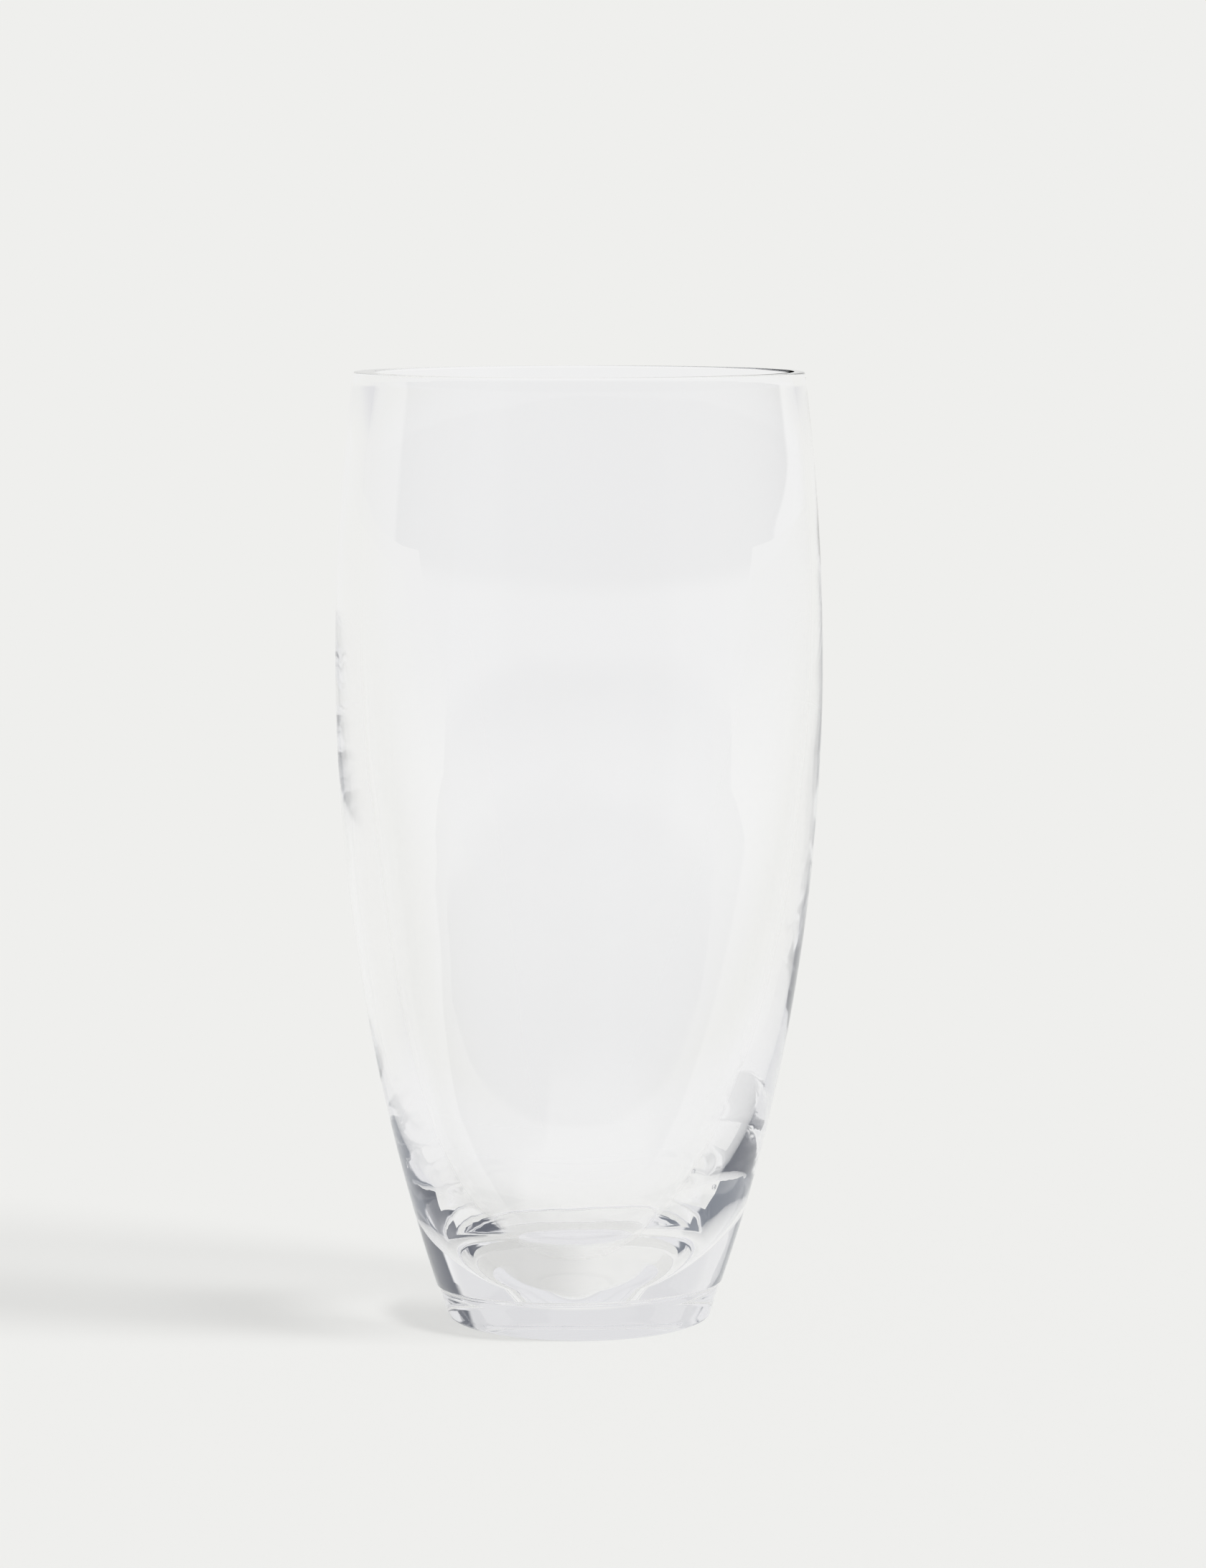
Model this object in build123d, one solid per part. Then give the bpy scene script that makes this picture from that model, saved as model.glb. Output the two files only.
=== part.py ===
from build123d import *
import math
import os

# Barrel-shaped glass vase: a hand-blown body on a solid glass foot.
# Frame: millimetres, +Z up, origin on the surface that the vase stands on, below the
# centre of the foot. Every height is measured from that surface.

# Outside of the blown body
HEIGHT = 300.0
BELLY_HEIGHT = 207.0
BELLY_RADIUS = 76.75
SHOULDER_ARC_RADIUS = 720.0
FLANK_ARC_RADIUS = 635.0

# Inside of the blown body
RIM_WALL = 5.7
RIM_EDGE_RADIUS = 0.8
CAVITY_BELLY_HEIGHT = 225.0
CAVITY_BELLY_WALL = 5.4
CAVITY_FLANK_ARC_RADIUS = 590.0
BOWL_TOP_HEIGHT = 110.0
BOWL_SIDE_REACH = 33.6
BOWL_FLOOR_REACH = 37.5
BODY_BOTTOM_THICKNESS = 2.7

# Crease between the body and the foot
BODY_EDGE_RADIUS = 0.8
FOOT_TOP_EDGE_RADIUS = 0.4

# Foot
FOOT_HEIGHT = 9.8
FOOT_STEP = 0.6
FOOT_TAPER_ANGLE = 17.0
FOOT_EDGE_RADIUS = 0.8
RESTING_RING_WIDTH = 10.0
HOLLOW_DEPTH = 2.0


def arc_radius_at(height, apex_height, apex_radius, arc_radius):
    """Distance from the vase's axis to an upright arc that is widest at its apex."""
    rise = height - apex_height
    return apex_radius - arc_radius + math.sqrt(arc_radius**2 - rise**2)


def outer_radius(height):
    """Outside radius of the blown body at a height."""
    arc_radius = SHOULDER_ARC_RADIUS if height > BELLY_HEIGHT else FLANK_ARC_RADIUS
    return arc_radius_at(height, BELLY_HEIGHT, BELLY_RADIUS, arc_radius)


# The cavity is widest above the outside's belly, so the wall thickens towards the foot.
cavity_belly_radius = outer_radius(CAVITY_BELLY_HEIGHT) - CAVITY_BELLY_WALL
mouth_radius = outer_radius(HEIGHT) - RIM_WALL
floor_height = FOOT_HEIGHT + BODY_BOTTOM_THICKNESS
seat_radius = outer_radius(FOOT_HEIGHT)


def cavity_flank_radius(height):
    """Inside radius of the wall between the bowl and the cavity's widest point."""
    return arc_radius_at(
        height, CAVITY_BELLY_HEIGHT, cavity_belly_radius, CAVITY_FLANK_ARC_RADIUS
    )


def upright_arc(lower_height, upper_height, radius_at):
    """Arc of an outline between two heights, from the radius rule that it follows."""
    middle_height = (lower_height + upper_height) / 2
    heights = (lower_height, middle_height, upper_height)
    return ThreePointArc(*[(radius_at(height), height) for height in heights])


def bowl_curve():
    """Rounded bottom of the cavity: level at the axis and tangent to the wall above."""
    floor = Vector(0, floor_height)
    top = Vector(cavity_flank_radius(BOWL_TOP_HEIGHT), BOWL_TOP_HEIGHT)
    drop = CAVITY_BELLY_HEIGHT - BOWL_TOP_HEIGHT
    lean = math.asin(drop / CAVITY_FLANK_ARC_RADIUS)
    down_the_wall = Vector(-math.sin(lean), -math.cos(lean))
    floor_pull = floor + Vector(BOWL_FLOOR_REACH, 0)
    side_pull = top + down_the_wall * BOWL_SIDE_REACH
    return Bezier(floor, floor_pull, side_pull, top)


def turned(outline):
    """Solid made by turning an outline, drawn as radius and height, round the axis."""
    section = Plane.XZ * make_face(outline)
    return revolve(section, Axis.Z)


def make_blown_body():
    """The body above the foot: one thick wall, with a mouth, round a rounded cavity."""
    outline = [
        Line((0, FOOT_HEIGHT), (seat_radius, FOOT_HEIGHT)),
        upright_arc(FOOT_HEIGHT, BELLY_HEIGHT, outer_radius),
        upright_arc(BELLY_HEIGHT, HEIGHT, outer_radius),
        Line((outer_radius(HEIGHT), HEIGHT), (mouth_radius, HEIGHT)),
        TangentArc(
            (cavity_belly_radius, CAVITY_BELLY_HEIGHT),
            (mouth_radius, HEIGHT),
            tangent=(0, 1),
        ),
        upright_arc(BOWL_TOP_HEIGHT, CAVITY_BELLY_HEIGHT, cavity_flank_radius),
        bowl_curve(),
        Line((0, floor_height), (0, FOOT_HEIGHT)),
    ]
    body = turned(outline)
    rim_edges = body.edges().group_by(Axis.Z)[-1]
    body = fillet(rim_edges, RIM_EDGE_RADIUS)
    crease_edge = body.edges().filter_by(GeomType.CIRCLE).group_by(Axis.Z)[0]
    return fillet(crease_edge, BODY_EDGE_RADIUS)


def make_foot():
    """Solid disc under the body, with a shallow hollow below so that a ring rests."""
    top_radius = seat_radius - FOOT_STEP
    taper = math.radians(FOOT_TAPER_ANGLE)
    bottom_radius = top_radius - FOOT_HEIGHT * math.tan(taper)
    hollow_radius = bottom_radius - RESTING_RING_WIDTH
    outline = [
        TangentArc((0, HOLLOW_DEPTH), (hollow_radius, 0), tangent=(1, 0)),
        Line((hollow_radius, 0), (bottom_radius, 0)),
        Line((bottom_radius, 0), (top_radius, FOOT_HEIGHT)),
        Line((top_radius, FOOT_HEIGHT), (0, FOOT_HEIGHT)),
        Line((0, FOOT_HEIGHT), (0, HOLLOW_DEPTH)),
    ]
    disc = turned(outline)
    bottom_circles = disc.edges().filter_by(GeomType.CIRCLE).group_by(Axis.Z)[0]
    disc = fillet(bottom_circles.sort_by(SortBy.RADIUS)[-1], FOOT_EDGE_RADIUS)
    top_circle = disc.edges().filter_by(GeomType.CIRCLE).group_by(Axis.Z)[-1]
    return fillet(top_circle, FOOT_TOP_EDGE_RADIUS)


pieces = {
    "blown_body": make_blown_body(),
    "foot": make_foot(),
}

os.makedirs("parts", exist_ok=True)
for name, piece in pieces.items():
    export_step(piece, f"parts/{name}.step")
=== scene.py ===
import logging
import math
from dataclasses import dataclass
from enum import Enum

import bpy
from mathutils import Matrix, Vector


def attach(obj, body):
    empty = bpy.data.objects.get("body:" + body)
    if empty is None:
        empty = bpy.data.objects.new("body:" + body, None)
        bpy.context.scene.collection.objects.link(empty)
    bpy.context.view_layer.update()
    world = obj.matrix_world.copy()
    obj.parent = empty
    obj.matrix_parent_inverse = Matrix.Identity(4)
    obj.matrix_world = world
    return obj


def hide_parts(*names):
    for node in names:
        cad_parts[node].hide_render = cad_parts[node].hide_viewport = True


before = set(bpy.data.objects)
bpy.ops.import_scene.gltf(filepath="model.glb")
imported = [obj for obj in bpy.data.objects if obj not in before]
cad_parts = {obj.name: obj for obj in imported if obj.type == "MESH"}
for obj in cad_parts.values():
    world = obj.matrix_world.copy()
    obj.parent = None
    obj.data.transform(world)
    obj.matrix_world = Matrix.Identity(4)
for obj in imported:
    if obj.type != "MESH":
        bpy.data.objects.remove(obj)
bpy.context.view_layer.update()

LOG = logging.getLogger("glass_vase")

MM = 0.001
IMAGE_WIDTH = 1680
IMAGE_HEIGHT = 2184

# The paper and the backdrop share this tone, so no edge shows between them.
PAPER = (0.8632, 0.8632, 0.8469)
WHITE = (1.0, 1.0, 1.0)

# How far a handle reaches along its side of a corner, for a quarter round, and what is left.
ROUND_REACH = 0.55
ROUND_REST = 0.45

# Numbers of the colour sockets of a Mix node, which share their names with others.
MIX_FIRST = 6
MIX_SECOND = 7
MIX_RESULT = 2

# Light crosses four faces of the wall, and is mirrored many times inside the foot.
GLASS_BOUNCES = 128
STAND_IN_BOUNCES = 32


class StrokeForm(Enum):
    """How a stretch of the vase's section runs between its points."""

    STRAIGHT = "straight"
    ARC = "arc"
    BEND = "bend"


class Face(Enum):
    """Which face of the glass a stretch of the section belongs to."""

    OUTSIDE = 0.0
    INSIDE = 1.0


@dataclass(frozen=True)
class Ease:
    """A smooth change from one value to another, while a number crosses a range."""

    low: float
    high: float
    to_low: float = 0.0
    to_high: float = 1.0


# How near to straight ahead a direction is, as the share of it that points at the backdrop.
STRAIGHT_AHEAD = Ease(0.92, 0.995)


@dataclass(frozen=True)
class Stroke:
    """One stretch of the section, by the names of the points that it runs through."""

    form: StrokeForm
    points: tuple[str, ...]
    divisions: int
    face: Face = Face.OUTSIDE


class NodeSheet:
    """A node tree under construction, with short calls to add and join its nodes."""

    def __init__(self, tree: bpy.types.NodeTree) -> None:
        """Keep the tree that the nodes go into.

        Args:
            tree: The node tree of a modifier, a material or the world.
        """
        self.tree = tree

    def add(self, kind: str, **settings: object) -> bpy.types.Node:
        """Add one node and set its properties.

        Args:
            kind: The node's type name.
            **settings: Property names of the node, with their values.

        Returns:
            The new node.
        """
        node = self.tree.nodes.new(kind)
        for name, value in settings.items():
            setattr(node, name, value)
        return node

    def feed(self, node: bpy.types.Node, socket: str | int, value: object) -> None:
        """Link an output into an input, or set the input to a constant.

        Args:
            node: The node that receives the value.
            socket: The input's name or number.
            value: An output socket, or a constant.
        """
        target = node.inputs[socket]
        if isinstance(value, bpy.types.NodeSocket):
            self.tree.links.new(value, target)
        else:
            target.default_value = value

    def sum_of(self, operation: str, *terms: object, whole: bool = False) -> bpy.types.NodeSocket:
        """Work out one number from others.

        Args:
            operation: The operation's name, as the Math node has it.
            *terms: Output sockets or constants.
            whole: True for whole numbers.

        Returns:
            The socket that carries the result.
        """
        kind = "FunctionNodeIntegerMath" if whole else "ShaderNodeMath"
        node = self.add(kind, operation=operation)
        for number, term in enumerate(terms):
            self.feed(node, number, term)
        return node.outputs[0]

    def product(self, *terms: object) -> bpy.types.NodeSocket:
        """Multiply numbers with each other.

        Args:
            *terms: Two or more output sockets or constants.

        Returns:
            The socket that carries the result.
        """
        result = terms[0]
        for term in terms[1:]:
            result = self.sum_of("MULTIPLY", result, term)
        return result

    def step(
        self, value: object, span: Ease, unit: float = 1.0, ends: tuple[object, object] | None = None
    ) -> bpy.types.NodeSocket:
        """Ease a number from one value to another across a range.

        Args:
            value: The number that is compared with the range.
            span: The range, and the results at its two ends.
            unit: What the range is counted in: MM for millimetres.
            ends: Sockets that carry the results at the two ends, in place of the span's.

        Returns:
            The socket that carries the result.
        """
        node = self.add("ShaderNodeMapRange", interpolation_type="SMOOTHSTEP")
        to_low, to_high = ends or (span.to_low, span.to_high)
        terms = {
            "Value": value,
            "From Min": span.low * unit,
            "From Max": span.high * unit,
            "To Min": to_low,
            "To Max": to_high,
        }
        for name, term in terms.items():
            self.feed(node, name, term)
        return node.outputs["Result"]

    def blend_colours(self, share: object, first: object, second: object) -> bpy.types.NodeSocket:
        """Mix two colours by a share of the second.

        Args:
            share: 0 for the first colour, 1 for the second.
            first: A colour or the socket of one.
            second: A colour or the socket of one.

        Returns:
            The mixed colour's socket.
        """
        node = self.add("ShaderNodeMix", data_type="RGBA")
        self.feed(node, 0, share)
        self.feed(node, MIX_FIRST, first)
        self.feed(node, MIX_SECOND, second)
        return node.outputs[MIX_RESULT]


def solid_colour(colour: tuple[float, float, float]) -> tuple[float, float, float, float]:
    """Return a colour with full opacity."""
    return (*colour, 1.0)


def grey(share: float) -> tuple[float, float, float, float]:
    """Return the grey that lets this share of light through, with full opacity."""
    return (share, share, share, 1.0)


def seen_rays(sheet: NodeSheet) -> bpy.types.NodeSocket:
    """Tell rays that come from the camera, straight or by way of gloss or glass.

    Args:
        sheet: The tree that the nodes go into.

    Returns:
        A socket that is 1 for those rays and 0 for the rest.
    """
    path = sheet.add("ShaderNodeLightPath")
    straight = sheet.sum_of("MAXIMUM", path.outputs["Is Camera Ray"], path.outputs["Is Glossy Ray"])
    return sheet.sum_of("MAXIMUM", straight, path.outputs["Is Transmission Ray"])


@dataclass(frozen=True)
class ClearGlass:
    """Hand-blown soda-lime glass: clear, fire-polished, faintly grey in its depth."""

    ior: float = 1.52
    depth_colour: tuple[float, float, float] = (0.84, 0.85, 0.88)
    depth_density: float = 1.1
    ripple_size: float = 26.0
    ripple_depth: float = 0.05
    # Height in mm, and the share of the lamp's light that a face there lets through.
    lamp_shares: tuple[tuple[float, float], ...] = (
        (0.0, 0.42),
        (12.0, 0.42),
        (16.0, 1.0),
        (35.0, 1.0),
        (46.0, 0.61),
        (58.0, 0.61),
        (80.0, 0.75),
    )
    lamp_share_back: float = 0.90
    lamp_share_near: float = 0.98
    lamp_share_edge: float = 0.80
    lamp_ramp_top: float = 300.0
    lamp_back_span: Ease = Ease(-5.0, 30.0)
    lamp_near_span: Ease = Ease(-12.0, 12.0)
    lamp_edge_power: float = 3.0

    def material(self) -> bpy.types.Material:
        """Make the glass.

        Returns:
            A material with a glossy clear skin, a tinted depth and a lamp stand-in.
        """
        material = bpy.data.materials.new("clear_glass")
        material.use_nodes = True
        sheet = NodeSheet(material.node_tree)
        material.node_tree.nodes.clear()
        glass = sheet.add("ShaderNodeBsdfPrincipled")
        sheet.feed(glass, "Base Color", solid_colour(WHITE))
        sheet.feed(glass, "Roughness", 0.0)
        sheet.feed(glass, "IOR", self.ior)
        sheet.feed(glass, "Transmission Weight", 1.0)
        sheet.feed(glass, "Normal", self.fire_polish(sheet))
        lamps = sheet.add("ShaderNodeBsdfTransparent")
        sheet.feed(lamps, "Color", self.lamp_colour(sheet))
        path = sheet.add("ShaderNodeLightPath")
        to_lamps = sheet.sum_of("MAXIMUM", path.outputs["Is Shadow Ray"], path.outputs["Is Diffuse Ray"])
        mix = sheet.add("ShaderNodeMixShader")
        sheet.feed(mix, 0, to_lamps)
        sheet.feed(mix, 1, glass.outputs[0])
        sheet.feed(mix, 2, lamps.outputs[0])
        depth = sheet.add("ShaderNodeVolumeAbsorption")
        sheet.feed(depth, "Color", solid_colour(self.depth_colour))
        sheet.feed(depth, "Density", self.depth_density)
        output = sheet.add("ShaderNodeOutputMaterial")
        sheet.feed(output, "Surface", mix.outputs[0])
        sheet.feed(output, "Volume", depth.outputs[0])
        return material

    def fire_polish(self, sheet: NodeSheet) -> bpy.types.NodeSocket:
        """Give the skin the faint waves that the flame leaves.

        Args:
            sheet: The material's tree.

        Returns:
            The socket of the waved normal.
        """
        place = sheet.add("ShaderNodeTexCoord")
        waves = sheet.add("ShaderNodeTexNoise")
        sheet.feed(waves, "Vector", place.outputs["Object"])
        sheet.feed(waves, "Scale", 1.0 / (self.ripple_size * MM))
        sheet.feed(waves, "Detail", 1.0)
        bump = sheet.add("ShaderNodeBump")
        sheet.feed(bump, "Strength", 1.0)
        sheet.feed(bump, "Distance", self.ripple_depth * MM)
        sheet.feed(bump, "Height", waves.outputs["Fac"])
        return bump.outputs[0]

    def lamp_colour(self, sheet: NodeSheet) -> bpy.types.NodeSocket:
        """Say how much of the lamp's light each face lets through, as a lens-like bottom does.

        On the far side from the lamp, the foot and the bowl scatter some of it and the
        thick glass between gathers it. The back and the side near the lamp let most of it
        through, and the edges a little less. The light of the room passes whole.

        Args:
            sheet: The material's tree.

        Returns:
            The socket of the stand-in's colour.
        """
        place = sheet.add("ShaderNodeTexCoord")
        parts = sheet.add("ShaderNodeSeparateXYZ")
        sheet.feed(parts, 0, place.outputs["Object"])
        to_right, to_back, height = parts.outputs
        ramp = sheet.add("ShaderNodeValToRGB")
        sheet.feed(ramp, 0, sheet.sum_of("DIVIDE", height, self.lamp_ramp_top * MM))
        stops = ramp.color_ramp.elements
        for _ in range(len(self.lamp_shares) - len(stops)):
            stops.new(1.0)
        for stop, (stop_height, share) in zip(stops, self.lamp_shares):
            stop.position = stop_height / self.lamp_ramp_top
            stop.color = grey(share)
        back = sheet.step(to_back, self.lamp_back_span, MM)
        far_side = sheet.blend_colours(back, ramp.outputs["Color"], grey(self.lamp_share_back))
        near_side = sheet.step(to_right, self.lamp_near_span, MM)
        facing = sheet.blend_colours(near_side, far_side, grey(self.lamp_share_near))
        slant = sheet.add("ShaderNodeLayerWeight")
        sheet.feed(slant, "Blend", 0.5)
        edge = sheet.sum_of("POWER", slant.outputs["Facing"], self.lamp_edge_power)
        lamp = sheet.blend_colours(edge, facing, grey(self.lamp_share_edge))
        path = sheet.add("ShaderNodeLightPath")
        return sheet.blend_colours(path.outputs["Is Diffuse Ray"], lamp, solid_colour(WHITE))


@dataclass(frozen=True)
class StudioPaper:
    """Pale matt paper: lit and shadowed near the vase, an even tone further off.

    Distances are in metres from the vase. Seen through the glass, the paper straight ahead
    and the paper close round the foot glow evenly with painted light. This glow is a little
    brighter than the paper and hides the vase's shadow there.
    """

    colour: tuple[float, float, float] = PAPER
    # Painted light: the tones at which the paper glows through the glass, near, further off and furthest,
    # each a little brighter than the paper.
    painted_glow_near: tuple[float, float, float] = (0.885, 0.885, 0.885)
    painted_glow_far: tuple[float, float, float] = (0.915, 0.915, 0.912)
    painted_glow_end: tuple[float, float, float] = (0.872, 0.872, 0.872)
    even_span: Ease = Ease(0.9, 1.9)
    far_span: Ease = Ease(0.3, 0.9)
    end_span: Ease = Ease(0.9, 1.8)
    close_span: Ease = Ease(0.18, 0.4, 1.0, 0.0)
    beside_span: Ease = Ease(-0.1, 0.2)
    contact_span: Ease = Ease(0.03, 0.12)

    def material(self) -> bpy.types.Material:
        """Make the paper.

        Returns:
            A matt material that turns into the backdrop's even tone with distance, and into a painted glow
            where it is seen through the glass.
        """
        material = bpy.data.materials.new("studio_paper")
        material.use_nodes = True
        sheet = NodeSheet(material.node_tree)
        material.node_tree.nodes.clear()
        place = sheet.add("ShaderNodeTexCoord")
        length = sheet.add("ShaderNodeVectorMath", operation="LENGTH")
        sheet.feed(length, 0, place.outputs["Object"])
        away = length.outputs["Value"]
        parts = sheet.add("ShaderNodeSeparateXYZ")
        sheet.feed(parts, 0, place.outputs["Object"])
        ahead = sheet.sum_of("DIVIDE", parts.outputs[1], away)
        path = sheet.add("ShaderNodeLightPath")
        # Painted light: rays through the glass that meet the paper straight ahead, or close beside the vase
        # beyond the foot, see an even glow in place of its lit and shadowed tone.
        around = sheet.product(sheet.step(ahead, self.beside_span), sheet.step(away, self.close_span))
        middle = sheet.sum_of("MAXIMUM", sheet.step(ahead, STRAIGHT_AHEAD), around)
        middle = sheet.product(middle, path.outputs["Is Transmission Ray"])
        near = sheet.product(middle, sheet.step(away, self.contact_span))
        far_off = sheet.product(sheet.step(away, self.even_span), seen_rays(sheet))
        share = sheet.sum_of("MAXIMUM", far_off, near)
        matt = sheet.add("ShaderNodeBsdfDiffuse")
        sheet.feed(matt, "Color", solid_colour(self.colour))
        even = sheet.add("ShaderNodeEmission")
        sheet.feed(even, "Color", self.tone(sheet, away, middle))
        mix = sheet.add("ShaderNodeMixShader")
        sheet.feed(mix, 0, share)
        sheet.feed(mix, 1, matt.outputs[0])
        sheet.feed(mix, 2, even.outputs[0])
        output = sheet.add("ShaderNodeOutputMaterial")
        sheet.feed(output, "Surface", mix.outputs[0])
        return material

    def tone(
        self, sheet: NodeSheet, away: bpy.types.NodeSocket, middle: bpy.types.NodeSocket
    ) -> bpy.types.NodeSocket:
        """Choose the even tone: the paper's own, or the painted glow that it shows through the glass.

        Args:
            sheet: The material's tree.
            away: The distance from the vase.
            middle: 1 where the painted glow shows, 0 elsewhere.

        Returns:
            The socket of the tone.
        """
        further = sheet.step(away, self.far_span)
        glow = sheet.blend_colours(further, solid_colour(self.painted_glow_near), solid_colour(self.painted_glow_far))
        furthest = sheet.step(away, self.end_span)
        glow = sheet.blend_colours(furthest, glow, solid_colour(self.painted_glow_end))
        return sheet.blend_colours(middle, solid_colour(self.colour), glow)


@dataclass(frozen=True)
class VaseSection:
    """The vase's section, as radius and height in mm above the surface it stands on."""

    height: float = 300.0
    belly_height: float = 207.0
    belly_radius: float = 76.75
    shoulder_arc: float = 720.0
    flank_arc: float = 635.0
    rim_wall: float = 5.7
    rim_edge: float = 0.8
    cavity_belly_height: float = 225.0
    cavity_belly_wall: float = 5.4
    cavity_flank_arc: float = 590.0
    bowl_top: float = 110.0
    bowl_side_reach: float = 33.6
    bowl_floor_reach: float = 37.5
    floor_height: float = 12.5
    foot_height: float = 9.8
    foot_step: float = 0.6
    foot_taper: float = math.radians(17.0)
    foot_edge: float = 0.9
    ring_width: float = 10.0
    hollow_depth: float = 2.0
    hollow_flank_share: float = 0.75
    groove_depth: float = 0.7
    groove_reach: float = 0.9
    groove_pull: float = 0.6
    seat_pull: float = 0.4

    def outer_radius(self, height: float) -> float:
        """Return the body's outside radius at a height."""
        arc = self.shoulder_arc if height > self.belly_height else self.flank_arc
        return self.belly_radius - arc + math.sqrt(arc**2 - (height - self.belly_height) ** 2)

    def cavity_radius(self, height: float) -> float:
        """Work out the cavity's radius between the bowl and its widest point.

        Args:
            height: The height, in mm.

        Returns:
            The radius there, in mm.
        """
        widest = self.outer_radius(self.cavity_belly_height) - self.cavity_belly_wall
        rise = height - self.cavity_belly_height
        return widest - self.cavity_flank_arc + math.sqrt(self.cavity_flank_arc**2 - rise**2)

    def shoulder_radius(self, height: float) -> float:
        """Work out the cavity's radius between its widest point and the mouth.

        Args:
            height: The height, in mm.

        Returns:
            The radius there, in mm.
        """
        mouth = self.outer_radius(self.height) - self.rim_wall
        widest = self.cavity_radius(self.cavity_belly_height)
        rise = self.height - self.cavity_belly_height
        narrowing = widest - mouth
        arc = (rise**2 + narrowing**2) / (2 * narrowing)
        return widest - arc + math.sqrt(arc**2 - (height - self.cavity_belly_height) ** 2)

    def foot_points(self) -> dict[str, tuple[float, float]]:
        """Place the points of the foot, from the middle of its hollow to the crease.

        Returns:
            Radius and height of each named point.
        """
        seat = self.outer_radius(self.foot_height)
        top = seat - self.foot_step
        bottom = top - self.foot_height * math.tan(self.foot_taper)
        hollow = bottom - self.ring_width
        side = Vector((math.sin(self.foot_taper), math.cos(self.foot_taper)))
        edge_end = Vector((bottom, 0.0)) + side * self.foot_edge
        under = self.foot_height - self.groove_reach
        shoulder = Vector((bottom, 0.0)) + side * (under / math.cos(self.foot_taper))
        groove = shoulder.x - self.groove_depth
        above = self.foot_height + self.groove_reach
        half_up = self.groove_reach / 2
        return {
            "hollow middle": (0.0, self.hollow_depth),
            "hollow flank": (hollow / 2, self.hollow_depth * self.hollow_flank_share),
            "hollow edge": (hollow, 0.0),
            "ring edge": (bottom - self.foot_edge, 0.0),
            "ring edge pull": (bottom - self.foot_edge * ROUND_REST, 0.0),
            "side foot pull": tuple(Vector((bottom, 0.0)) + side * self.foot_edge * ROUND_REST),
            "side foot": tuple(edge_end),
            "side top": tuple(shoulder),
            "side top pull": tuple(shoulder + side * half_up),
            "groove low pull": (groove, self.foot_height - half_up),
            "groove": (groove, self.foot_height),
            "groove high pull": (groove, self.foot_height + half_up * self.groove_pull),
            "seat pull": (seat, self.foot_height + half_up * self.seat_pull),
            "seat": (self.outer_radius(above), above),
        }

    def body_points(self) -> dict[str, tuple[float, float]]:
        """Place the points of the body, from the crease over the rim to the floor.

        Returns:
            Radius and height of each named point.
        """
        above = self.foot_height + self.groove_reach
        flank_middle = (above + self.belly_height) / 2
        below_rim = self.height - self.rim_edge
        shoulder_middle = (self.belly_height + below_rim) / 2
        rim = self.outer_radius(below_rim)
        mouth = self.shoulder_radius(below_rim)
        inner_middle = (self.cavity_belly_height + below_rim) / 2
        inner_flank = (self.cavity_belly_height + self.bowl_top) / 2
        lean = math.asin((self.cavity_belly_height - self.bowl_top) / self.cavity_flank_arc)
        bowl_top = Vector((self.cavity_radius(self.bowl_top), self.bowl_top))
        side_pull = bowl_top - Vector((math.sin(lean), math.cos(lean))) * self.bowl_side_reach
        soft = self.rim_edge * ROUND_REACH
        return {
            "flank middle": (self.outer_radius(flank_middle), flank_middle),
            "belly": (self.belly_radius, self.belly_height),
            "shoulder middle": (self.outer_radius(shoulder_middle), shoulder_middle),
            "rim side": (rim, below_rim),
            "rim side pull": (rim, below_rim + soft),
            "rim top pull": (rim - self.rim_edge + soft, self.height),
            "rim top": (rim - self.rim_edge, self.height),
            "mouth top": (mouth + self.rim_edge, self.height),
            "mouth top pull": (mouth + self.rim_edge - soft, self.height),
            "mouth side pull": (mouth, below_rim + soft),
            "mouth side": (mouth, below_rim),
            "inner shoulder": (self.shoulder_radius(inner_middle), inner_middle),
            "inner belly": (self.cavity_radius(self.cavity_belly_height), self.cavity_belly_height),
            "inner flank": (self.cavity_radius(inner_flank), inner_flank),
            "bowl top": tuple(bowl_top),
            "bowl side pull": tuple(side_pull),
            "bowl floor pull": (self.bowl_floor_reach, self.floor_height),
            "bowl floor": (0.0, self.floor_height),
        }

    def points(self) -> dict[str, tuple[float, float]]:
        """Return every named point of the section."""
        return {**self.foot_points(), **self.body_points()}

    @staticmethod
    def strokes() -> tuple[Stroke, ...]:
        """List the section's stretches, in order from under the foot to the floor.

        Returns:
            The strokes, each starting where the one before it ends.
        """
        straight, arc, bend = StrokeForm.STRAIGHT, StrokeForm.ARC, StrokeForm.BEND
        inside = Face.INSIDE
        return (
            Stroke(arc, ("hollow middle", "hollow flank", "hollow edge"), 16),
            Stroke(straight, ("hollow edge", "ring edge"), 5),
            Stroke(bend, ("ring edge", "ring edge pull", "side foot pull", "side foot"), 6),
            Stroke(straight, ("side foot", "side top"), 7),
            Stroke(bend, ("side top", "side top pull", "groove low pull", "groove"), 7),
            Stroke(bend, ("groove", "groove high pull", "seat pull", "seat"), 7),
            Stroke(arc, ("seat", "flank middle", "belly"), 48),
            Stroke(arc, ("belly", "shoulder middle", "rim side"), 26),
            Stroke(bend, ("rim side", "rim side pull", "rim top pull", "rim top"), 7),
            Stroke(straight, ("rim top", "mouth top"), 5),
            Stroke(bend, ("mouth top", "mouth top pull", "mouth side pull", "mouth side"), 7, inside),
            Stroke(arc, ("mouth side", "inner shoulder", "inner belly"), 20, inside),
            Stroke(arc, ("inner belly", "inner flank", "bowl top"), 32, inside),
            Stroke(bend, ("bowl top", "bowl side pull", "bowl floor pull", "bowl floor"), 46, inside),
        )


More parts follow.
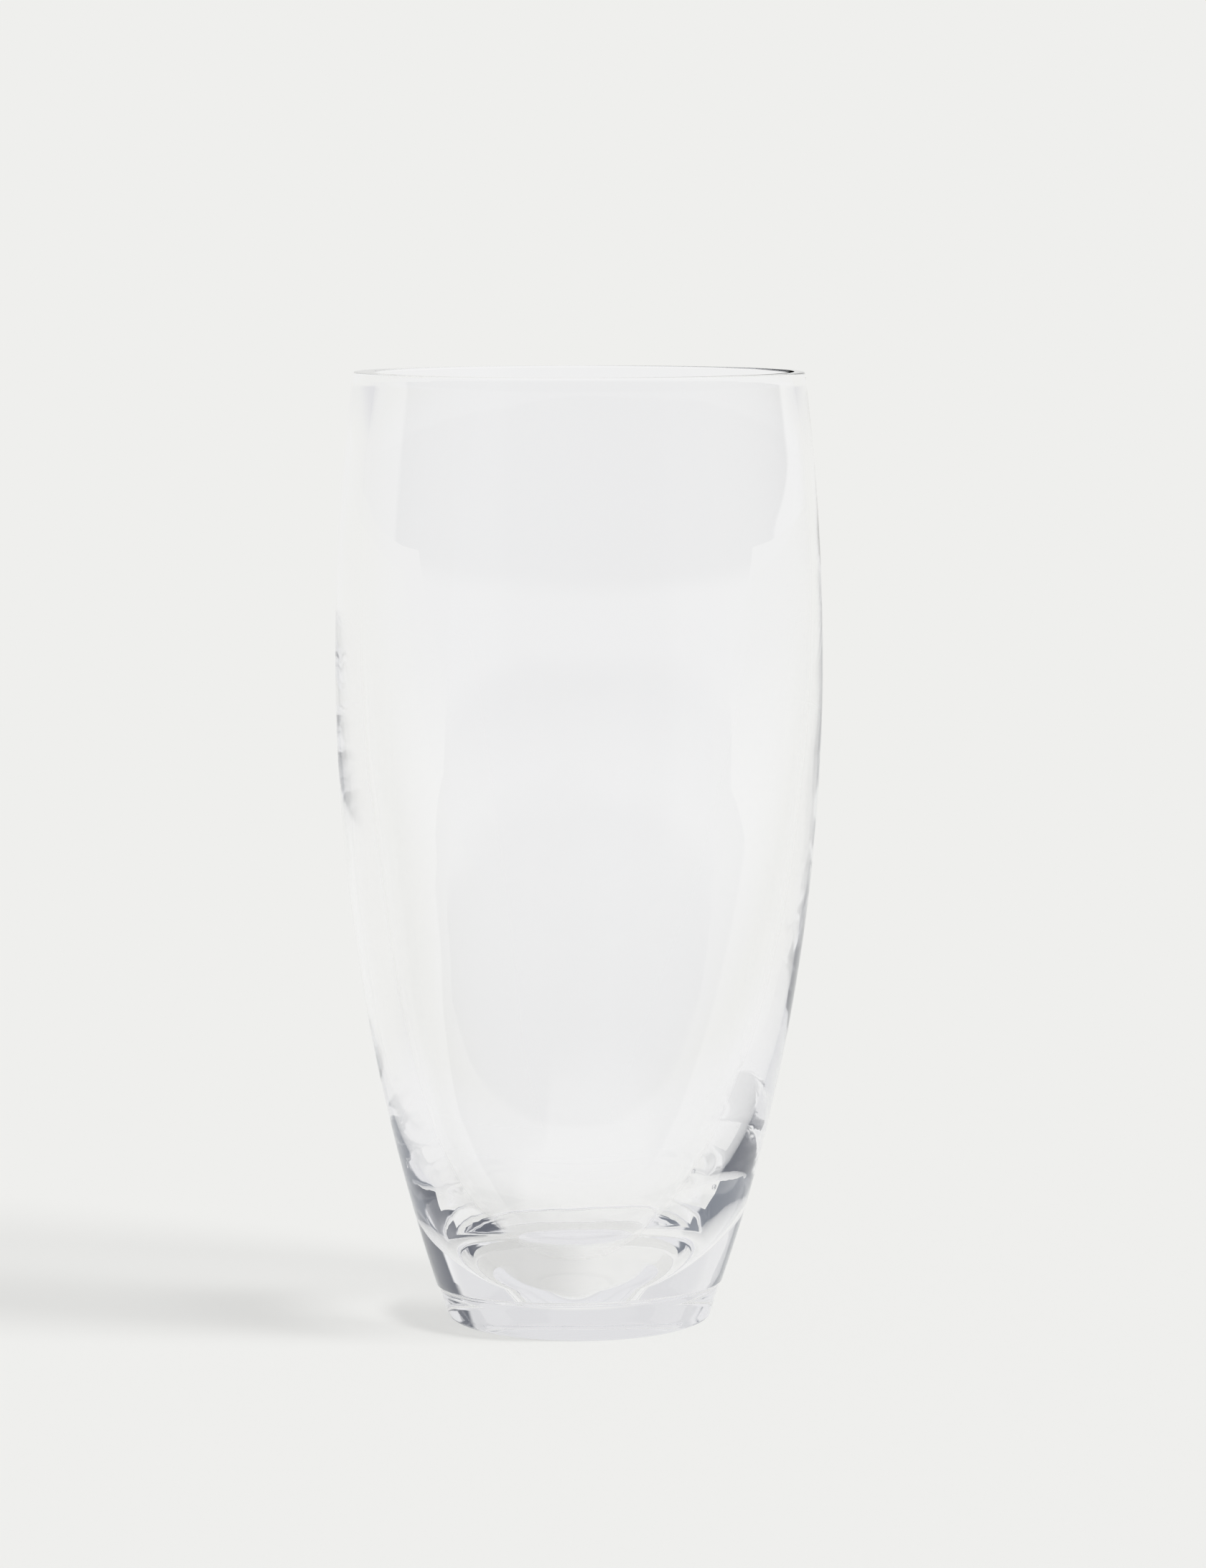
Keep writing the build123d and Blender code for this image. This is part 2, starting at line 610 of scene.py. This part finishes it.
@dataclass(frozen=True)
class HandBlown:
    """What the blower's hand leaves in the turned shape, in mm.

    The cavity leans from left of the axis to right of it, its skins wave slowly, the bowl
    is finely wrinkled, one bubble is caught in the wall, and the crease is tilted.
    """

    cavity_shift_high: float = 1.5
    cavity_shift_low: float = -1.4
    cavity_shift_span: Ease = Ease(20.0, 150.0)
    skin_wave: float = 0.16
    inner_wave: float = 0.25
    wave_size: float = 48.0
    wave_detail: float = 1.0
    wrinkle_depth: float = 0.12
    wrinkle_size: float = 4.5
    wrinkle_detail: float = 2.0
    wrinkle_start: Ease = Ease(18.0, 30.0)
    wrinkle_end: Ease = Ease(45.0, 62.0, 1.0, 0.0)
    calm_span: Ease = Ease(0.0, 12.0)
    seed: float = 4.0
    bubble_radius: float = 0.9
    bubble_place: tuple[float, float, float] = (39.0, -29.3, 48.0)
    bubble_stretch: float = 1.15
    bubble_divisions: int = 4
    crease_rise_front: float = 2.4
    crease_rise_right: float = 0.7
    crease_full_height: float = 8.9
    crease_fade: Ease = Ease(10.7, 45.0, 1.0, 0.0)
    resting_ring_span: Ease = Ease(33.0, 40.0)


@dataclass
class GlassVase:
    """The whole vase: one mass of glass, turned from its section with the blower's waves."""

    section: VaseSection
    hand: HandBlown
    glass: ClearGlass
    divisions_around: int = 320
    merge_distance: float = 0.001

    def build(self) -> bpy.types.Object:
        """Make the vase, dress it and seat it on the frame.

        Returns:
            The finished piece.
        """
        material = self.glass.material()
        tree, sockets = self.lathe(material)
        host = bpy.data.objects.new("vase_lathe", bpy.data.meshes.new("vase_lathe"))
        bpy.context.scene.collection.objects.link(host)
        modifier = host.modifiers.new("lathe", "NODES")
        modifier.node_group = tree
        for name, value in self.inputs().items():
            modifier[sockets[name]] = value
        bpy.context.view_layer.update()
        turned = host.evaluated_get(bpy.context.evaluated_depsgraph_get())
        mesh = bpy.data.meshes.new_from_object(turned)
        host.modifiers.clear()
        bpy.data.objects.remove(host)
        mesh.name = "glass_vase"
        vase = bpy.data.objects.new("glass_vase", mesh)
        bpy.context.scene.collection.objects.link(vase)
        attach(vase, "root")
        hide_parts("blown_body", "foot")
        LOG.info("glass vase: %d points, %d faces", len(mesh.vertices), len(mesh.polygons))
        return vase

    def inputs(self) -> dict[str, object]:
        """Gather the lathe's inputs, in metres.

        Returns:
            The value of each named input.
        """
        values: dict[str, object] = {
            name: (radius * MM, 0.0, height * MM) for name, (radius, height) in self.section.points().items()
        }
        values["Divisions around"] = self.divisions_around
        values["Cavity shift high"] = self.hand.cavity_shift_high * MM
        values["Cavity shift low"] = self.hand.cavity_shift_low * MM
        values["Skin wave"] = self.hand.skin_wave * MM
        values["Inner wave"] = self.hand.inner_wave * MM
        values["Waves per metre"] = 1.0 / (self.hand.wave_size * MM)
        values["Wrinkle depth"] = self.hand.wrinkle_depth * MM
        values["Wrinkles per metre"] = 1.0 / (self.hand.wrinkle_size * MM)
        values["Seed"] = self.hand.seed
        values["Crease rise front"] = self.hand.crease_rise_front * MM
        values["Crease rise right"] = self.hand.crease_rise_right * MM
        values["Bubble radius"] = self.hand.bubble_radius * MM
        values["Bubble place"] = tuple(part * MM for part in self.hand.bubble_place)
        return values

    def lathe(self, material: bpy.types.Material) -> tuple[bpy.types.NodeTree, dict[str, str]]:
        """Build the tree that turns the section into glass.

        Args:
            material: The glass.

        Returns:
            The tree, and the identifier of each named input.
        """
        tree = bpy.data.node_groups.new("vase_lathe", "GeometryNodeTree")
        sockets: dict[str, str] = {}
        for name, value in self.inputs().items():
            kinds = {int: "NodeSocketInt", float: "NodeSocketFloat", tuple: "NodeSocketVector"}
            socket = tree.interface.new_socket(name, in_out="INPUT", socket_type=kinds[type(value)])
            sockets[name] = socket.identifier
        tree.interface.new_socket("Geometry", in_out="OUTPUT", socket_type="NodeSocketGeometry")
        sheet = NodeSheet(tree)
        entry = sheet.add("NodeGroupInput").outputs
        rows = self.rows(sheet, entry)
        skin = self.turn(sheet, entry, rows)
        bubble = self.bubble(sheet, entry)
        both = sheet.add("GeometryNodeJoinGeometry")
        tree.links.new(skin, both.inputs[0])
        tree.links.new(bubble, both.inputs[0])
        smooth = sheet.add("GeometryNodeSetShadeSmooth")
        tree.links.new(both.outputs[0], smooth.inputs[0])
        real = sheet.add("GeometryNodeRealizeInstances")
        tree.links.new(smooth.outputs[0], real.inputs[0])
        dressed = sheet.add("GeometryNodeSetMaterial")
        tree.links.new(real.outputs[0], dressed.inputs[0])
        dressed.inputs["Material"].default_value = material
        end = sheet.add("NodeGroupOutput")
        tree.links.new(dressed.outputs[0], end.inputs[0])
        return tree, sockets

    def rows(self, sheet: NodeSheet, entry: bpy.types.NodeOutputs) -> bpy.types.NodeSocket:
        """Draw the section as one run of points.

        Args:
            sheet: The lathe's tree.
            entry: The tree's inputs.

        Returns:
            The section as a wire, its points in order.
        """
        drawn = []
        for stroke in self.section.strokes():
            if stroke.form is StrokeForm.ARC:
                line = sheet.add("GeometryNodeCurveArc", mode="POINTS")
                names = ("Start", "Middle", "End")
            elif stroke.form is StrokeForm.BEND:
                line = sheet.add("GeometryNodeCurvePrimitiveBezierSegment", mode="POSITION")
                names = ("Start", "Start Handle", "End Handle", "End")
            else:
                line = sheet.add("GeometryNodeCurvePrimitiveLine", mode="POINTS")
                names = ("Start", "End")
            for name, point in zip(names, stroke.points):
                sheet.feed(line, name, entry[point])
            curve = line.outputs["Curve"]
            if stroke.form is StrokeForm.STRAIGHT:
                even = sheet.add("GeometryNodeResampleCurve", mode="COUNT")
                sheet.feed(even, "Curve", curve)
                sheet.feed(even, "Count", stroke.divisions)
                curve = even.outputs[0]
            else:
                sheet.feed(line, "Resolution", stroke.divisions)
            tag = sheet.add("GeometryNodeStoreNamedAttribute", data_type="FLOAT", domain="POINT")
            sheet.feed(tag, "Geometry", curve)
            sheet.feed(tag, "Name", "inside")
            sheet.feed(tag, "Value", stroke.face.value)
            wire = sheet.add("GeometryNodeCurveToMesh")
            sheet.feed(wire, "Curve", tag.outputs[0])
            drawn.append(wire.outputs[0])
        joined = sheet.add("GeometryNodeJoinGeometry")
        for wire in reversed(drawn):
            sheet.tree.links.new(wire, joined.inputs[0])
        return joined.outputs[0]

    def turn(
        self, sheet: NodeSheet, entry: bpy.types.NodeOutputs, rows: bpy.types.NodeSocket
    ) -> bpy.types.NodeSocket:
        """Turn the section round the vase's axis, with the blower's waves.

        Args:
            sheet: The lathe's tree.
            entry: The tree's inputs.
            rows: The section's points.

        Returns:
            The closed skin of the glass.
        """
        count = sheet.add("GeometryNodeAttributeDomainSize", component="MESH")
        sheet.feed(count, 0, rows)
        columns = sheet.sum_of("ADD", entry["Divisions around"], 1, whole=True)
        grid = sheet.add("GeometryNodeMeshGrid")
        sheet.feed(grid, "Vertices X", count.outputs["Point Count"])
        sheet.feed(grid, "Vertices Y", columns)
        number = sheet.add("GeometryNodeInputIndex").outputs[0]
        row = sheet.sum_of("DIVIDE_FLOOR", number, columns, whole=True)
        column = sheet.sum_of("MODULO", number, columns, whole=True)
        share = sheet.sum_of("DIVIDE", column, entry["Divisions around"])
        angle = sheet.product(share, math.tau)
        point = sheet.add("GeometryNodeSampleIndex", data_type="FLOAT_VECTOR", domain="POINT")
        sheet.feed(point, "Geometry", rows)
        sheet.feed(point, "Value", sheet.add("GeometryNodeInputPosition").outputs[0])
        sheet.feed(point, "Index", row)
        tag = sheet.add("GeometryNodeInputNamedAttribute", data_type="FLOAT")
        sheet.feed(tag, "Name", "inside")
        face = sheet.add("GeometryNodeSampleIndex", data_type="FLOAT", domain="POINT")
        sheet.feed(face, "Geometry", rows)
        sheet.feed(face, "Value", tag.outputs[0])
        sheet.feed(face, "Index", row)
        inside = face.outputs[0]
        moved = sheet.add("GeometryNodeSetPosition")
        sheet.feed(moved, "Geometry", grid.outputs["Mesh"])
        sheet.feed(moved, "Position", self.place(sheet, entry, point.outputs[0], angle, inside))
        closed = sheet.add("GeometryNodeMergeByDistance")
        sheet.feed(closed, "Geometry", moved.outputs[0])
        sheet.feed(closed, "Distance", self.merge_distance * MM)
        outward = sheet.add("GeometryNodeFlipFaces")
        sheet.feed(outward, "Mesh", closed.outputs[0])
        return outward.outputs[0]

    def place(
        self,
        sheet: NodeSheet,
        entry: bpy.types.NodeOutputs,
        point: bpy.types.NodeSocket,
        angle: bpy.types.NodeSocket,
        inside: bpy.types.NodeSocket,
    ) -> bpy.types.NodeSocket:
        """Place one point of the section at one angle round the axis.

        Args:
            sheet: The lathe's tree.
            entry: The tree's inputs.
            point: The section's point, its radius first and its height last.
            angle: The angle, from the right towards the back.
            inside: 1 on the inner face, 0 on the outer one.

        Returns:
            The socket of the place, in metres.
        """
        parts = sheet.add("ShaderNodeSeparateXYZ")
        sheet.feed(parts, 0, point)
        radius, _, height = parts.outputs
        cosine = sheet.sum_of("COSINE", angle)
        sine = sheet.sum_of("SINE", angle)
        turned = sheet.add("ShaderNodeCombineXYZ")
        sheet.feed(turned, 0, sheet.product(radius, cosine))
        sheet.feed(turned, 1, sheet.product(radius, sine))
        sheet.feed(turned, 2, height)
        swell = self.swell(sheet, entry, turned.outputs[0], radius, height, inside)
        wide = sheet.sum_of("ADD", radius, swell)
        ends = (entry["Cavity shift low"], entry["Cavity shift high"])
        shift = sheet.step(height, self.hand.cavity_shift_span, MM, ends)
        aside = sheet.product(shift, inside)
        lift = self.crease_lift(sheet, entry, radius, height, (cosine, sine), inside)
        blown = sheet.add("ShaderNodeCombineXYZ")
        sheet.feed(blown, 0, sheet.sum_of("ADD", sheet.product(wide, cosine), aside))
        sheet.feed(blown, 1, sheet.product(wide, sine))
        sheet.feed(blown, 2, sheet.sum_of("ADD", height, lift))
        return blown.outputs[0]

    def crease_lift(
        self,
        sheet: NodeSheet,
        entry: bpy.types.NodeOutputs,
        radius: bpy.types.NodeSocket,
        height: bpy.types.NodeSocket,
        turn: tuple[bpy.types.NodeSocket, bpy.types.NodeSocket],
        inside: bpy.types.NodeSocket,
    ) -> bpy.types.NodeSocket:
        """Work out how far the tilted crease lifts the outer face near the foot.

        Args:
            sheet: The lathe's tree.
            entry: The tree's inputs.
            radius: The point's distance from the axis.
            height: Its height.
            turn: The cosine and the sine of its angle.
            inside: 1 on the inner face, 0 on the outer one.

        Returns:
            The lift, in metres: full at the crease, none under the resting ring.
        """
        cosine, sine = turn
        to_front = sheet.product(sine, entry["Crease rise front"])
        to_right = sheet.product(cosine, entry["Crease rise right"])
        tilt = sheet.sum_of("SUBTRACT", to_right, to_front)
        share = sheet.sum_of("DIVIDE", height, self.hand.crease_full_height * MM)
        below = sheet.sum_of("MINIMUM", share, 1.0)
        near = sheet.product(below, sheet.step(height, self.hand.crease_fade, MM))
        outside = sheet.sum_of("SUBTRACT", 1.0, inside)
        beyond_ring = sheet.product(outside, sheet.step(radius, self.hand.resting_ring_span, MM))
        return sheet.product(tilt, near, beyond_ring)

    def swell(
        self,
        sheet: NodeSheet,
        entry: bpy.types.NodeOutputs,
        place: bpy.types.NodeSocket,
        radius: bpy.types.NodeSocket,
        height: bpy.types.NodeSocket,
        inside: bpy.types.NodeSocket,
    ) -> bpy.types.NodeSocket:
        """Work out how far hand-blown glass stands off the true turned shape.

        Args:
            sheet: The lathe's tree.
            entry: The tree's inputs.
            place: Where the point is on the turned shape.
            radius: Its distance from the axis.
            height: Its height.
            inside: 1 on the inner face, 0 on the outer one.

        Returns:
            The change in radius, in metres.
        """
        waves = sheet.add("ShaderNodeTexNoise", noise_dimensions="4D")
        sheet.feed(waves, "Vector", place)
        sheet.feed(waves, "W", sheet.sum_of("ADD", entry["Seed"], inside))
        sheet.feed(waves, "Scale", entry["Waves per metre"])
        sheet.feed(waves, "Detail", self.hand.wave_detail)
        wave = sheet.sum_of("SUBTRACT", waves.outputs["Fac"], 0.5)
        extra = sheet.sum_of("SUBTRACT", entry["Inner wave"], entry["Skin wave"])
        reach = sheet.sum_of("ADD", entry["Skin wave"], sheet.product(extra, inside))
        slow = sheet.product(wave, reach)
        wrinkles = sheet.add("ShaderNodeTexNoise", noise_dimensions="4D")
        sheet.feed(wrinkles, "Vector", place)
        sheet.feed(wrinkles, "W", entry["Seed"])
        sheet.feed(wrinkles, "Scale", entry["Wrinkles per metre"])
        sheet.feed(wrinkles, "Detail", self.hand.wrinkle_detail)
        wrinkle = sheet.sum_of("SUBTRACT", wrinkles.outputs["Fac"], 0.5)
        low = sheet.step(height, self.hand.wrinkle_start, MM)
        high = sheet.step(height, self.hand.wrinkle_end, MM)
        band = sheet.product(low, high, inside)
        quick = sheet.product(wrinkle, band, entry["Wrinkle depth"])
        calm = sheet.step(radius, self.hand.calm_span, MM)
        return sheet.product(sheet.sum_of("ADD", slow, quick), calm)

    def bubble(self, sheet: NodeSheet, entry: bpy.types.NodeOutputs) -> bpy.types.NodeSocket:
        """Leave one seed bubble in the wall, its skin facing into the air inside it.

        Args:
            sheet: The lathe's tree.
            entry: The tree's inputs.

        Returns:
            The bubble's skin.
        """
        ball = sheet.add("GeometryNodeMeshIcoSphere")
        sheet.feed(ball, "Radius", entry["Bubble radius"])
        sheet.feed(ball, "Subdivisions", self.hand.bubble_divisions)
        placed = sheet.add("GeometryNodeTransform")
        sheet.feed(placed, "Geometry", ball.outputs["Mesh"])
        sheet.feed(placed, "Translation", entry["Bubble place"])
        sheet.feed(placed, "Scale", (1.0, 1.0, self.hand.bubble_stretch))
        flipped = sheet.add("GeometryNodeFlipFaces")
        sheet.feed(flipped, "Mesh", placed.outputs[0])
        return flipped.outputs[0]


@dataclass(frozen=True)
class Studio:
    """The pale room round the vase: its floor, its soft lamp and what the glass mirrors.

    A direction is told by how far it points to the right, ahead to the backdrop, and up.
    """

    paper: StudioPaper
    floor_reach: float = 60.0
    floor_front: float = 0.39
    fill: float = 0.70
    lamp_azimuth: float = math.radians(109.0)
    lamp_elevation: float = math.radians(42.0)
    lamp_spread: float = math.radians(14.0)
    # What the glass shows straight ahead, up to eye level.
    glow_tone: tuple[float, float, float] = (0.885, 0.885, 0.885)
    glow_height: Ease = Ease(0.0, 0.04, 1.0, 0.0)
    # The walls away from the backdrop, and a paler window that the glass mirrors on the right.
    room_tone: tuple[float, float, float] = (0.80, 0.80, 0.815)
    room_ahead: Ease = Ease(0.55, 0.85, 1.0, 0.0)
    window_tone: tuple[float, float, float] = (0.92, 0.92, 0.93)
    window_right: Ease = Ease(0.60, 0.75)
    # A greyer band over the backdrop, above eye level.
    haze_tone: tuple[float, float, float] = (0.745, 0.745, 0.76)
    haze_ahead: Ease = Ease(0.6, 0.75)
    haze_foot: Ease = Ease(0.06, 0.11)
    haze_top: Ease = Ease(0.66, 0.8, 1.0, 0.0)
    # The dusk at the sides and the back: its tones, where it starts, its foot and its top.
    dusk_tone_right: tuple[float, float, float] = (0.105, 0.115, 0.145)
    dusk_tone_left: tuple[float, float, float] = (0.19, 0.21, 0.25)
    dusk_tone_span: Ease = Ease(0.3, -0.5)
    dusk_right: Ease = Ease(0.3, 0.5)
    dusk_start: float = 0.32
    dusk_start_edge: Ease = Ease(-0.07, 0.0, 1.0, 0.0)
    dusk_forward: Ease = Ease(0.21, 0.27, 0.28, 0.41)
    dusk_forward_foot: Ease = Ease(0.0, 0.07)
    dusk_foot: Ease = Ease(-0.06, -0.01)
    dusk_top: Ease = Ease(0.0, 1.0, 0.40, 0.56)
    dusk_top_edge: Ease = Ease(-0.1, 0.1, 1.0, 0.0)
    # Just over 1, so that a direction straight up still has a level share above zero.
    upright_guard: float = 1.0001

    def build(self) -> None:
        """Set up the floor, the lamp and the world."""
        self.lay_floor()
        self.hang_lamp()
        self.paint_room()
        LOG.info("studio ready")

    def lay_floor(self) -> None:
        """Lay one wide sheet of paper under the vase, which ends a little way in front."""
        mesh = bpy.data.meshes.new("studio_floor")
        far, front = self.floor_reach, -self.floor_front
        corners = [(-far, front, 0.0), (far, front, 0.0), (far, far, 0.0), (-far, far, 0.0)]
        mesh.from_pydata(corners, [], [(0, 1, 2, 3)])
        mesh.materials.append(self.paper.material())
        floor = bpy.data.objects.new("studio_floor", mesh)
        bpy.context.scene.collection.objects.link(floor)

    def hang_lamp(self) -> None:
        """Hang the soft lamp on the right, a little in front."""
        light = bpy.data.lights.new("soft_lamp", "SUN")
        light.angle = self.lamp_spread
        light.energy = (1.0 - self.fill) * math.pi / math.sin(self.lamp_elevation)
        lamp = bpy.data.objects.new("soft_lamp", light)
        bpy.context.scene.collection.objects.link(lamp)
        flat = math.cos(self.lamp_elevation)
        to_right = math.sin(self.lamp_azimuth) * flat
        to_back = math.cos(self.lamp_azimuth) * flat
        towards = Vector((to_right, to_back, math.sin(self.lamp_elevation)))
        lamp.rotation_euler = towards.to_track_quat("Z", "Y").to_euler()
        lamp.visible_glossy = False
        lamp.visible_transmission = False

    def paint_room(self) -> None:
        """Light the vase evenly, and show the glass a pale room with dusky sides and back."""
        world = bpy.data.worlds.new("studio_room")
        world.use_nodes = True
        bpy.context.scene.world = world
        sheet = NodeSheet(world.node_tree)
        world.node_tree.nodes.clear()
        path = sheet.add("ShaderNodeLightPath")
        towards = sheet.add("ShaderNodeTexCoord")
        parts = sheet.add("ShaderNodeSeparateXYZ")
        sheet.feed(parts, 0, towards.outputs["Generated"])
        right, ahead, up = parts.outputs
        through = path.outputs["Is Transmission Ray"]
        behind = sheet.step(ahead, self.room_ahead)
        room = sheet.blend_colours(behind, solid_colour(PAPER), solid_colour(self.room_tone))
        window = sheet.product(sheet.step(right, self.window_right), path.outputs["Is Glossy Ray"])
        room = sheet.blend_colours(window, room, solid_colour(self.window_tone))
        low = sheet.step(up, self.glow_height)
        middle = sheet.product(sheet.step(ahead, STRAIGHT_AHEAD), low, through)
        room = sheet.blend_colours(middle, room, solid_colour(self.glow_tone))
        raised = sheet.product(sheet.step(up, self.haze_foot), sheet.step(up, self.haze_top))
        haze = sheet.product(sheet.step(ahead, self.haze_ahead), raised, through)
        room = sheet.blend_colours(haze, room, solid_colour(self.haze_tone))
        dusk = sheet.product(self.dusk(sheet, right, ahead, up), through)
        leftward = sheet.step(right, self.dusk_tone_span)
        right_tone, left_tone = solid_colour(self.dusk_tone_right), solid_colour(self.dusk_tone_left)
        dusk_tone = sheet.blend_colours(leftward, right_tone, left_tone)
        room = sheet.blend_colours(dusk, room, dusk_tone)
        seen = sheet.blend_colours(path.outputs["Is Camera Ray"], room, solid_colour(PAPER))
        backdrop = sheet.add("ShaderNodeBackground")
        sheet.feed(backdrop, "Color", sheet.blend_colours(seen_rays(sheet), grey(self.fill), seen))
        output = sheet.add("ShaderNodeOutputWorld")
        sheet.feed(output, "Surface", backdrop.outputs[0])

    def dusk(
        self,
        sheet: NodeSheet,
        right: bpy.types.NodeSocket,
        ahead: bpy.types.NodeSocket,
        up: bpy.types.NodeSocket,
    ) -> bpy.types.NodeSocket:
        """Place the dusky part of the room: its sides and back, from eye level up.

        It comes further forward on the right, and reaches higher there.

        Args:
            sheet: The world's tree.
            right: How far a direction points to the right.
            ahead: How far it points to the backdrop.
            up: How far it points up.

        Returns:
            The socket that is 1 in the dusk and 0 outside it.
        """
        level = sheet.sum_of("SUBTRACT", self.upright_guard, sheet.product(up, up))
        facing = sheet.sum_of("DIVIDE", ahead, sheet.sum_of("SQRT", level))
        forward = sheet.product(sheet.step(up, self.dusk_forward), sheet.step(up, self.dusk_forward_foot))
        on_right = sheet.step(right, self.dusk_right)
        start = sheet.sum_of("MULTIPLY_ADD", forward, on_right, self.dusk_start)
        across = sheet.step(sheet.sum_of("SUBTRACT", facing, start), self.dusk_start_edge)
        above_foot = sheet.step(up, self.dusk_foot)
        top = sheet.step(on_right, self.dusk_top)
        below_top = sheet.step(sheet.sum_of("SUBTRACT", up, top), self.dusk_top_edge)
        return sheet.product(across, above_foot, below_top)


@dataclass(frozen=True)
class Viewpoint:
    """Where the vase is looked at from, in metres; the focal length is in picture points."""

    distance: float = 1.541
    height: float = 0.3444
    down: float = math.radians(6.456)
    focal_pixels: float = 6837.0
    axis_column: float = 806.5
    sensor_width: float = 36.0

    def build(self) -> None:
        """Make the camera."""
        camera = bpy.data.cameras.new("viewpoint")
        camera.sensor_width = self.sensor_width
        camera.lens = self.sensor_width * self.focal_pixels / IMAGE_HEIGHT
        eye = bpy.data.objects.new("viewpoint", camera)
        bpy.context.scene.collection.objects.link(eye)
        eye.location = (0.0, -self.distance, self.height)
        aside = math.atan((self.axis_column - IMAGE_WIDTH / 2) / self.focal_pixels)
        eye.rotation_euler = (math.pi / 2 - self.down, 0.0, aside)
        bpy.context.scene.camera = eye


def set_up_light_paths() -> None:
    """Let light cross the glass as often as it needs, in plain display colours."""
    scene = bpy.context.scene
    scene.view_settings.view_transform = "Standard"
    scene.cycles.max_bounces = GLASS_BOUNCES
    scene.cycles.transmission_bounces = GLASS_BOUNCES
    scene.cycles.glossy_bounces = GLASS_BOUNCES
    scene.cycles.transparent_max_bounces = STAND_IN_BOUNCES


def main() -> None:
    """Build the vase, the studio and the viewpoint."""
    logging.basicConfig(level=logging.INFO, format="%(name)s: %(message)s")
    GlassVase(VaseSection(), HandBlown(), ClearGlass()).build()
    Studio(StudioPaper()).build()
    Viewpoint().build()
    set_up_light_paths()


if __name__ == "__main__":
    main()
